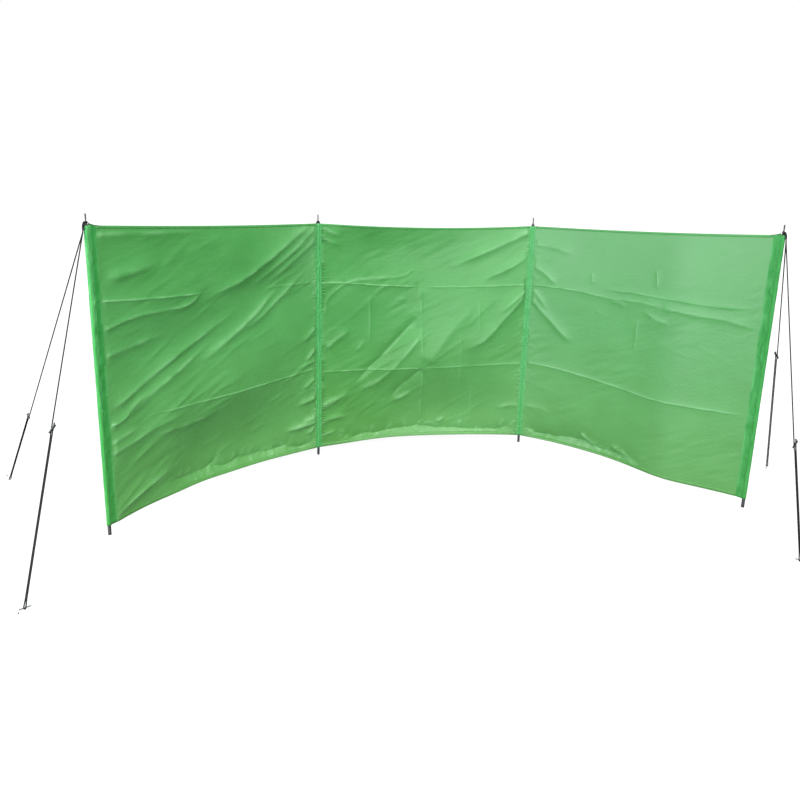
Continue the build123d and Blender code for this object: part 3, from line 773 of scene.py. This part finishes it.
# pole sleeves: cloth wrapped round the pole and drawn in to a seam at each panel
# wings: heading in degrees and reach of each seam
# last entry: painted highlight, as a share of the whitened colour, at distances from the pole's axis towards
# the seam, in mm
sleeves = {
    "leftEnd": {
        "finish": lappedTaffetaPaintedShade, "flat": 0.122, "seed": 3, "wings": ((layout["leftTurn"], endReach),),
        "paintedHighlight": ((-10, .2), (-3, .24), (3, .42), (12, .3), (18, .02), (28, .03), (42, .3))},
    "leftInner": {
        "finish": doubledTaffeta, "flat": 0.105, "seed": 5,
        "wings": ((180 + layout["leftTurn"], innerReach), (0.0, innerReach)),
        "paintedHighlight": ((0, .14), (6, .12), (11, .06), (22, .1))},
    "rightInner": {
        "finish": doubledTaffeta, "flat": 0.105, "seed": 7,
        "wings": ((180.0, innerReach), (-layout["rightTurn"], innerReach)),
        "paintedHighlight": ((0, .0), (6, .02), (11, .12), (22, .24))},
    "rightEnd": {
        "finish": lappedTaffetaPaintedShade, "flat": 0.122, "seed": 9, "wings": ((180 - layout["rightTurn"], endReach),),
        "paintedHighlight": ((-10, .1), (10, .12), (24, .19), (34, .25), (42, .46))},
}
# pinches: shares of the way from the tube to the seam, and half the thickness there as a share of the radius
sleeveCloth = {
    "radius": 0.0098, "rows": 150, "columns": 40, "thickness": 0.0008, "wrinkle": 0.0015, "pleat": 0.5,
    "uvRadius": 0.016, "pull": 0.8, "pullStart": 0.006, "pullRun": 0.012,
    "innerPinch": ((0, .77), (.25, .48), (.5, .28), (.75, .14), (1, 0)),
    "endPinch": ((0, .77), (.2, .56), (.45, .36), (.75, .17), (1, 0)), "pinchStart": 0.64,
    # angles from a seam's tip where the mesh is finer
    "tipAngles": (0, .0015, .004, .01, .02, .035, .055, .08, .12, .18, .26, .36, .5, .7),
    # the tape draws up the top corner of the end sleeves: distance from the axis and rise, in mm
    "gusset": ((9.5, 0), (11.8, 7.8), (22, 4.0), (34, 1.4), (42, .3)), "gussetDepth": 0.06}


def wingOutline(reach):
    # half section of a wing: distances from the pole's axis and half thicknesses
    r = sleeveCloth["radius"]
    first = sleeveCloth["pinchStart"] * r
    pinch = sleeveCloth["endPinch" if reach == endReach else "innerPinch"]
    return np.array([(first + (reach - first) * a, r * b) for a, b in pinch])


def sleeveShape(side, angle, z):
    # world points of the sleeve at an angle round the pole and a height, and their distance towards the seam
    spec, r = sleeves[side], sleeveCloth["radius"]
    s = spec["seed"]
    gather = softNoise(angle * 1.5 + 40, z / 0.022, s + 1) + 0.6 * softNoise(angle * 2 + 40, z / 0.011, s + 2)
    wrinkle = softNoise(angle * 6 / math.pi + 40, z / 0.035 + angle * 0.8, s) * 0.5 + 0.5
    far = r + sleeveCloth["wrinkle"] * wrinkle
    for degrees, reach in spec["wings"]:
        apart = np.abs((angle - math.radians(degrees) + math.pi) % (2 * math.pi) - math.pi)
        outline = wingOutline(reach)[::-1]
        bearings = np.arctan2(outline[:, 1], outline[:, 0])
        pleated = apart * (1 + sleeveCloth["pleat"] * gather)
        wing = np.interp(pleated, bearings, np.hypot(outline[:, 0], outline[:, 1]))
        far = np.where(pleated < bearings[-1], np.maximum(far * smoothStep(apart / 0.7), wing), far)
    inward = np.max([far * np.cos(angle - math.radians(degrees)) for degrees, reach in spec["wings"]], axis=0)
    if side.endswith("End"):
        out, rise = np.array(sleeveCloth["gusset"]).T / 1000
        nearTop = smoothStep((z - clothTop) / sleeveCloth["gussetDepth"] + 1)
        z = z + np.interp(inward, out, rise) * nearTop
    return np.stack([feet[side][0] + far * np.cos(angle), feet[side][1] + far * np.sin(angle), z], -1), inward


sleevePieces = {}
for side, spec in sleeves.items():
    fullTurn = 2 * math.pi
    evenly = np.linspace(0, fullTurn, sleeveCloth["columns"], endpoint=False)
    close = [math.radians(degrees) % fullTurn + np.outer((-1, 1), sleeveCloth["tipAngles"]).ravel()
             for degrees, reach in spec["wings"]]
    angle = np.unique(np.round(np.concatenate([evenly, np.concatenate(close) % fullTurn]), 5))
    angle = angle[np.concatenate([[True], np.diff(angle) > 0.001])]
    z = np.linspace(clothFoot, clothTop, sleeveCloth["rows"])
    angleGrid, zGrid = np.meshgrid(angle, z)
    points, inward = sleeveShape(side, angleGrid, zGrid)
    # painted highlight along the sleeves, patchy
    paintedHighlight = np.interp(inward * 1000, *zip(*spec["paintedHighlight"]))
    paintedHighlight = paintedHighlight * np.clip(0.8 + 0.7 * softNoise(inward / 0.012, zGrid / 0.045, spec["seed"]), 0, 2)
    # the left end's painted highlight is weaker lower down
    if side == "leftEnd":  # rubbed less lower down
        paintedHighlight *= np.where(inward < 0.02, 0.25 + 0.75 * smoothStep((zGrid - 0.4) / 0.8), 1)
    pull = sleeveCloth["pull"] * smoothStep((inward - sleeveCloth["pullStart"]) / sleeveCloth["pullRun"])
    piece = buildMesh(side + "Sleeve", points, gridFaces(len(z), len(angle), True), spec["finish"],
                      np.stack([angleGrid * sleeveCloth["uvRadius"], zGrid], -1),
                      {"foldWearAndHighlight": paintedHighlight, "seamPull": 0 * pull if side.endswith("End") else pull})
    addSolidify(piece, sleeveCloth["thickness"], -1.0)
    sleevePieces[side] = piece
    attach(piece, cadName(side) + "_sleeve")
print("sleeves ready")


# lockstitches along the hems and sleeve seams, laid by one node tree.
# Real ones are 3 mm long; these are 7 mm apart, because finer ones don't show.
stitching = {"pitch": 0.007, "length": 0.0048, "width": 0.0009, "lift": 0.0004, "hemShare": 0.75,
             "seamInset": 0.005, "endGap": 0.004}
stitchInputs = ("Pitch", "Length", "Width")


def buildStitchTree():
    tree = bpy.data.node_groups.new("lockstitchRow", "GeometryNodeTree")
    tree.interface.new_socket("Geometry", in_out="INPUT", socket_type="NodeSocketGeometry")
    for name in stitchInputs:
        tree.interface.new_socket(name, in_out="INPUT", socket_type="NodeSocketFloat")
    tree.interface.new_socket("Geometry", in_out="OUTPUT", socket_type="NodeSocketGeometry")
    given = addNode(tree, "NodeGroupInput").outputs
    spaced = addNode(tree, "GeometryNodeResampleCurve", {
        "Curve": given["Geometry"], "Length": given["Pitch"]}, mode="LENGTH")
    tangent = addNode(tree, "GeometryNodeInputTangent")
    turned = addNode(tree, "FunctionNodeAlignRotationToVector", {"Vector": tangent}, axis="X")
    size = addNode(tree, "CombineXYZ", {"X": given["Length"], "Y": given["Width"], "Z": given["Width"]})
    bead = addNode(tree, "GeometryNodeMeshUVSphere", {"Segments": 5, "Rings": 4, "Radius": 0.5})
    laid = addNode(tree, "GeometryNodeInstanceOnPoints", {
        "Points": spaced, "Instance": bead, "Rotation": turned, "Scale": size})
    real = addNode(tree, "GeometryNodeRealizeInstances", {"Geometry": laid})
    painted = addNode(tree, "GeometryNodeSetMaterial", {"Geometry": real, "Material": thread})
    addNode(tree, "NodeGroupOutput", {"Geometry": painted})
    return tree


stitchTree = buildStitchTree()


def sewLines(name, lines):
    curve = bpy.data.curves.new(name + "Path", "CURVE")
    curve.dimensions = "3D"
    for line in lines:
        spline = curve.splines.new("POLY")
        spline.points.add(len(line) - 1)
        spline.points.foreach_set("co", np.hstack([line, np.ones((len(line), 1))]).astype(np.float32).ravel())
    carrier = addObject(name + "Path", curve)
    modifier = carrier.modifiers.new("stitches", "NODES")
    modifier.node_group = stitchTree
    for item in stitchTree.interface.items_tree:
        if item.in_out == "INPUT" and item.name in stitchInputs:
            modifier[item.identifier] = stitching[item.name.lower()]
    graph = bpy.context.evaluated_depsgraph_get()
    mesh = bpy.data.meshes.new_from_object(carrier.evaluated_get(graph))
    bpy.data.objects.remove(carrier)
    mesh.shade_smooth()
    piece = addObject(name, mesh)
    attach(piece)
    return piece


for bay in bays:
    lines = []
    u = np.linspace(0.004, 0.996, 160)
    inset = stitching["hemShare"] / 1000 / clothHeight
    for v in (1 - hems["Top"]["widthMm"] * inset, hems["Foot"]["widthMm"] * inset):
        for offset in (-1, 1):
            local = clothShape(bay, u, np.full(u.shape, v))[0]
            local[:, 1] += offset * (hems["halfThickness"] + stitching["lift"])
            lines.append(toWorld(bay, local))
    sewLines(bay + "HemStitches", lines)
for side, spec in sleeves.items():
    lines = []
    gap = stitching["endGap"]
    z = np.linspace(clothFoot + gap, clothTop - gap, 170)
    for degrees, reach in spec["wings"]:
        out = reach - stitching["seamInset"]
        thick = np.interp(out, *wingOutline(reach).T) * 1.3 + stitching["lift"]
        for offset in (-1, 1):
            place = feet[side] + wayAt(degrees) * out + np.cross(upWay, wayAt(degrees)) * offset * thick
            lines.append(np.column_stack([np.tile(place[:2], (len(z), 1)), z]))
    sewLines(side + "SeamStitches", lines)
print("stitches ready")


# webbing loops: a tape drawn over each pin's shoulder, pierced by the pin and sewn to the sleeve;
# at the end poles one leg runs on along the top hem
tape = {"width": 0.015, "thickness": 0.0017, "hole": 0.0041, "holeLevel": 0.012, "tailShare": 0.3,
        "peak": 0.0141, "edge": (0.0004, 2), "across": (-.5, -.44, -.36, -.27, 0, .27, .36, .44, .5),
        # from the pin outwards: distance from the axis and height over the cloth
        "leg": ((.003, .0141), (.0052, .0130), (.0068, .0095), (.0092, .003), (.0110, -.003), (.0120, -.010),
                (.0122, -.020)),
        "tail": ((.003, .0141), (.0060, .0128), (.012, .0090), (.022, .0050), (.034, .0024), (.046, .0012),
                 (.053, -.001))}
tapeWays = {"leftEnd": leftWay, "leftInner": leftWay + middleWay, "rightInner": middleWay + rightWay,
            "rightEnd": -rightWay}
for side, way in tapeWays.items():
    way = unit(way)
    across = np.cross(upWay, way)
    onward = tape["tail"] if side.endswith("End") else tape["leg"]
    section = [(-x, y) for x, y in tape["leg"][::-1]] + [(0.0, tape["peak"])] + list(onward)
    line = throughPoints(section, 8) + np.array([0, clothTop])
    edgeAcross = np.array(tape["across"]) * tape["width"]
    narrowing = 1 - (1 - tape["tailShare"]) * smoothStep((line[:, 0] - 0.006) / 0.03)
    points = (feet[side] + line[:, None, :1] * way + line[:, None, 1:] * upWay
              + (edgeAcross[None, :] * narrowing[:, None])[:, :, None] * across)
    uv = np.stack(np.broadcast_arrays(edgeAcross[None, :], distances(line)[:, None]), -1)
    faces = []
    for face in gridFaces(len(line), len(edgeAcross)):
        middle = points.reshape(-1, 3)[face].mean(axis=0) - feet[side]
        overPole = middle[2] > clothTop + tape["holeLevel"]
        # the pin comes through here
        if not (overPole and abs(middle @ way) < tape["hole"] and abs(middle @ across) < tape["hole"]):
            faces.append(face[::-1])
    piece = buildMesh(side + "TopLoop", points, faces, webbing, uv)
    addSolidify(piece, tape["thickness"], 0.0)
    soften = piece.modifiers.new("softEdge", "BEVEL")
    soften.limit_method = "ANGLE"
    soften.width, soften.segments = tape["edge"]
    attach(piece, cadName(side) + "_top_loop")
print("webbing loops ready")


# guys: a loop of cord round each end pin, knotted to two taut lines that run to a slider and round a peg
guys = {
    "leftRear": {"pole": "leftEnd", "reach": 0.977, "bearing": 132.8, "sliderShare": 0.69},
    "leftFront": {"pole": "leftEnd", "reach": 0.588, "bearing": 249.8, "sliderShare": 0.55},
    "rightRear": {"pole": "rightEnd", "reach": 0.716, "bearing": 37.8, "sliderShare": 0.45},
    "rightFront": {"pole": "rightEnd", "reach": 0.549, "bearing": 252.9, "sliderShare": 0.655},
}
cordSizes = {
    "radius": 0.0026, "loopCord": 0.0019, "sides": 10, "knotOffset": 0.0155, "knotDrop": 0.026,
    "pegLoopHeight": 0.013, "returnRadius": 0.00445, "together": 0.0028, "drawIn": 0.035,
    "loopRadius": 0.0057, "sliderTilt": 60.0, "sliderThickness": 0.005, "stopper": 0.009, "clearance": 0.0002,
    # size of the knots and radius of their cord
    "loopKnot": (0.0026, 0.0016), "endKnot": (0.0030, 0.0015),
    # one strand of the loop, from the knot over the tape to the pin: mm outward, sideways, over the cloth
    "strand": ((15.5, 1.6, -23), (15.5, 2.2, -16), (15.2, 3.0, -8), (14.0, 4.0, -1), (12.2, 4.8, 5),
               (9.8, 5.4, 10.8), (6.5, 5.7, 15.4), (2.6, 5.7, 17))}
outWays = {"leftEnd": -leftWay, "rightEnd": rightWay}
c = cordSizes
knots = {side: feet[side] + out * c["knotOffset"] + upWay * (clothTop - c["knotDrop"])
         for side, out in outWays.items()}


def knotAround(centre, axis, size, radius):
    # overhand knot: a trefoil of cord drawn tight
    axis = unit(axis)
    side = unit(np.cross(axis, upWay if abs(axis[2]) < 0.9 else middleWay))
    other = np.cross(axis, side)
    t = np.linspace(0, 2 * math.pi, 72, endpoint=False)[:, None]
    x, y, z = np.sin(t) + 2 * np.sin(2 * t), np.cos(t) - 2 * np.cos(2 * t), -np.sin(3 * t)
    line = centre + size / 3 * (x * side + z * other * 1.1 + y * axis)
    return tubeAlong(np.vstack([line, line[:2]]), radius, 8)


def layCord(name, node, parts):
    points, faces, uv = joinParts(parts)
    attach(buildMesh(name, points, faces, cordBraid, uv), node)


for side, out in outWays.items():
    across = np.cross(upWay, out)
    strand = throughPoints(c["strand"], 3) / 1000 + np.array([0, 0, clothTop])
    turn = np.linspace(math.pi / 2, 3 * math.pi / 2, 15)
    aroundPin = [(c["loopRadius"] * math.cos(a), c["loopRadius"] * math.sin(a), layout["loopLevel"])
                 for a in turn]
    route = list(strand) + aroundPin + [(a, -w, b) for a, w, b in strand[::-1]]
    line = [feet[side] + out * a + across * w + upWay * b for a, w, b in route]
    name = side[:-len("End")]
    layCord(name + "GuyLoop", name + "_guy_loop", [
        tubeAlong(line, c["loopCord"], c["sides"]), knotAround(knots[side], upWay, *c["loopKnot"])])

for name, spec in guys.items():
    knot = knots[spec["pole"]]
    peg = feet[spec["pole"]] + wayAt(spec["bearing"]) * spec["reach"] + upWay * c["pegLoopHeight"]
    down = unit(peg - knot)
    across = np.cross(unit(np.array([down[0], down[1], 0])), upWay)
    aside = across * c["returnRadius"]
    lower = np.linalg.norm(peg - knot) * (1 - spec["sliderShare"])
    tilt = math.radians(c["sliderTilt"])
    stagger = c["returnRadius"] * math.tan(tilt)
    halfSlot = c["sliderThickness"] / 2 / math.cos(tilt)
    eye = peg - down * (lower - stagger) + aside
    stopper = lower + stagger + (c["stopper"] / 2 + c["clearance"]) / math.cos(tilt) + halfSlot
    endKnot = peg - down * stopper - aside
    upper = np.linspace(0, 1, 24)[:, None] * (eye - knot) + knot
    # down to the peg, round it and back; the strands are drawn together away from the slider and the peg
    back = np.linspace(0, 1, 90)[:, None]
    drawn = (c["returnRadius"] - c["together"]) * smoothStep(np.minimum(back, 1 - back) * lower / c["drawIn"])
    first = (1 - back) * eye + back * (peg + aside) - drawn * across
    turn = np.linspace(math.pi / 2, -math.pi / 2, 17)[1:-1, None]
    roundPeg = peg + c["returnRadius"] * (np.cos(turn) * down + np.sin(turn) * across)
    last = (1 - back) * (peg - aside) + back * endKnot + drawn * across
    layCord(name + "GuyLine", cadName(name) + "_guy_line", [tubeAlong(upper, c["radius"], c["sides"])])
    layCord(name + "GuyReturn", cadName(name) + "_guy_return", [
        tubeAlong(np.vstack([first, roundPeg, last]), c["radius"], c["sides"]),
        knotAround(endKnot, down, *c["endKnot"])])
print("guys ready")


# names each sleeve's pole node and does nothing with it
for side, piece in sleevePieces.items():
    cadName(side) + "_pole"


# camera at the photograph's place
cameraSpec = {"lens": 28.234, "sensor": 36.0, "position": (-0.4334, -3.7633, 1.5481), "yaw": 12.199,
              "pitch": 11.998, "roll": 1.057, "shiftX": 0.0266, "shiftY": -0.0738}
yaw, pitch, roll = (math.radians(cameraSpec[k]) for k in ("yaw", "pitch", "roll"))
ahead = Vector((math.sin(yaw) * math.cos(pitch), math.cos(yaw) * math.cos(pitch), -math.sin(pitch)))
sideways = Vector((math.cos(yaw), -math.sin(yaw), 0))
upright = sideways.cross(ahead)
right = sideways * math.cos(roll) + upright * math.sin(roll)
over = upright * math.cos(roll) - sideways * math.sin(roll)
cameraData = bpy.data.cameras.new("photoCamera")
cameraData.sensor_width, cameraData.lens = cameraSpec["sensor"], cameraSpec["lens"]
cameraData.shift_x, cameraData.shift_y = cameraSpec["shiftX"], cameraSpec["shiftY"]
camera = addObject("photoCamera", cameraData)
turned = Matrix((right, over, -ahead)).transposed().to_4x4()
camera.matrix_world = Matrix.Translation(cameraSpec["position"]) @ turned
scene.camera = camera


# studio: white floor, soft white surround and large soft lamps
studio = {
    "surround": 0.20, "floor": "#7C7C7C", "glow": 0.8, "floorHalf": 60.0,
    # suns have a spread in degrees, soft boxes a size in metres
    "lamps": {
        "key": {"place": (1.6, -3, 5), "aim": (1.36, -2.41, 4.25), "power": 2.9, "spread": 40},
        "over": {"place": (0.5, 0, 6), "aim": (0.5, 0.05, 5), "power": 1.7, "spread": 60},
        "behind": {"place": (2.4, 4, 2.6), "aim": (0.7, 0, 0.8), "power": 0.7, "spread": 50},
        "left": {"place": (-4.4, -3.3, 1.35), "aim": (1.8, -0.6, 0.9), "power": 450, "size": (4.0, 2.7),
                 "tint": "#F2F8FF"},
        "front": {"place": (0.5, -6.5, 0.95), "aim": (0.7, 0.0, 0.8), "power": 170, "size": (4.2, 1.8)}}}
for lampName, spec in studio["lamps"].items():
    light = bpy.data.lights.new(lampName + "Lamp", "SUN" if "spread" in spec else "AREA")
    light.energy, light.color = spec["power"], hexToLinear(spec.get("tint", "#FFFFFF"))[:3]
    if "spread" in spec:
        light.angle = math.radians(spec["spread"])
    else:
        light.shape, light.size, light.size_y = "RECTANGLE", *spec["size"]
    lamp = addObject(lampName + "Lamp", light)
    lamp.location = spec["place"]
    lamp.rotation_mode = "QUATERNION"
    lamp.rotation_quaternion = (Vector(spec["aim"]) - Vector(spec["place"])).to_track_quat("-Z", "Y")
    lamp.visible_camera = False

world = bpy.data.worlds.new("whiteSurround")
scene.world = world
world.use_nodes = True
worldTree = world.node_tree
worldTree.nodes.clear()
seen = addNode(worldTree, "LightPath").outputs["Is Camera Ray"]
glow = addNode(worldTree, "MapRange", {"Value": seen, "To Min": studio["surround"], "To Max": 1.0})
surround = addNode(worldTree, "Background", {"Color": "#FFFFFF", "Strength": glow})
addNode(worldTree, "OutputWorld", {"Surface": surround})


# Opal acrylic light table: flat white and softly glowing, with a faint stipple about 4 mm wide
def floorLook(add):
    place = add("TexCoord").outputs["Object"]
    stipple = add("TexNoise", {"Vector": place, "Scale": 250.0})
    bump = add("Bump", {"Height": stipple, "Strength": 0.1, "Distance": 0.001})
    return add("BsdfPrincipled", {
        "Base Color": studio["floor"], "Roughness": 0.9, "Normal": bump, "Emission Color": "#FFFFFF",
        "Emission Strength": studio["glow"]})


far = studio["floorHalf"]
corners = [(-far, -far, 0), (far, -far, 0), (far, far, 0), (-far, far, 0)]
floor = buildMesh("studioFloor", corners, [[0, 1, 2, 3]], newMaterial("opalAcrylicFloor", floorLook))
floor.visible_diffuse, floor.visible_glossy = False, False  # no glare from below on the cloth
scene.view_settings.view_transform = "Standard"
print("studio ready")
